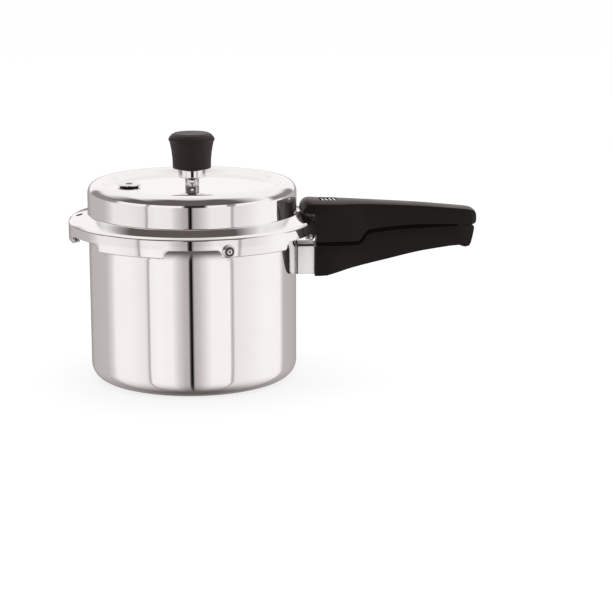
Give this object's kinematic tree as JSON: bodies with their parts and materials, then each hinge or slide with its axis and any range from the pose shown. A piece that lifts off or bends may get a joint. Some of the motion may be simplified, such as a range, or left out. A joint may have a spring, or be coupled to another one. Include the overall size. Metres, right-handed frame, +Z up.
{
  "type": "stovetop pressure cooker",
  "caption": "Outer-lid stovetop pressure cooker: polished round pot, twist-lock lid with lugs, black pan handles, weight valve and safety plug.",
  "frame": {"origin": "centre of the pot's flat base, on the pot's axis", "axes": "+Z up along the pot's axis, +X along the handles, -Y to the front"},
  "size_m": [0.3945, 0.2382, 0.2374],
  "materials": {
    "polished_aluminium": "mirror polished outside, brushed inside",
    "polished_steel": "polished",
    "plain_steel": "plain zinc-plated",
    "black_phenolic": "moulded, semi-matte",
    "black_rubber": "matte",
    "fusible_alloy": "dull cast alloy"
  },
  "bodies": {
    "pot": {"pot_body": "polished_aluminium", "pot_bracket": "polished_steel", "pot_rivet_lower": "plain_steel", "pot_rivet_upper": "plain_steel", "lower_handle": "black_phenolic", "lower_handle_washer": "plain_steel", "lower_handle_screw": "plain_steel"},
    "gasket": {"gasket": "black_rubber"},
    "lid": {"lid_shell": "polished_aluminium", "stop_rivet": "polished_steel", "lid_bracket": "plain_steel", "lid_bracket_rivet_front": "plain_steel", "lid_bracket_rivet_rear": "plain_steel", "upper_handle": "black_phenolic", "upper_handle_washer": "plain_steel", "upper_handle_screw": "plain_steel", "grip_insert": "polished_steel", "vent_pipe": "polished_steel", "vent_seal": "black_rubber", "vent_washer": "plain_steel", "vent_nut": "plain_steel", "safety_plug_body": "polished_steel", "safety_plug_slug": "fusible_alloy", "safety_plug_seal": "black_rubber", "safety_plug_nut": "plain_steel"},
    "weight": {"weight_body": "polished_steel", "weight_knob": "black_phenolic"}
  },
  "joints": [
    {"name": "lid_lift", "type": "slide", "parent": "pot", "child": "gasket", "axis": [0, 0, 1], "range_m": [0, 0.09]},
    {"name": "lid_turn", "type": "hinge", "parent": "gasket", "child": "lid", "pos_m": [0, 0, 0.15], "axis": [0, 0, -1], "range_deg": [0, 30]},
    {"name": "weight_lift", "type": "slide", "parent": "lid", "child": "weight", "axis": [0, 0, 1], "range_m": [0, 0.035]}
  ]
}
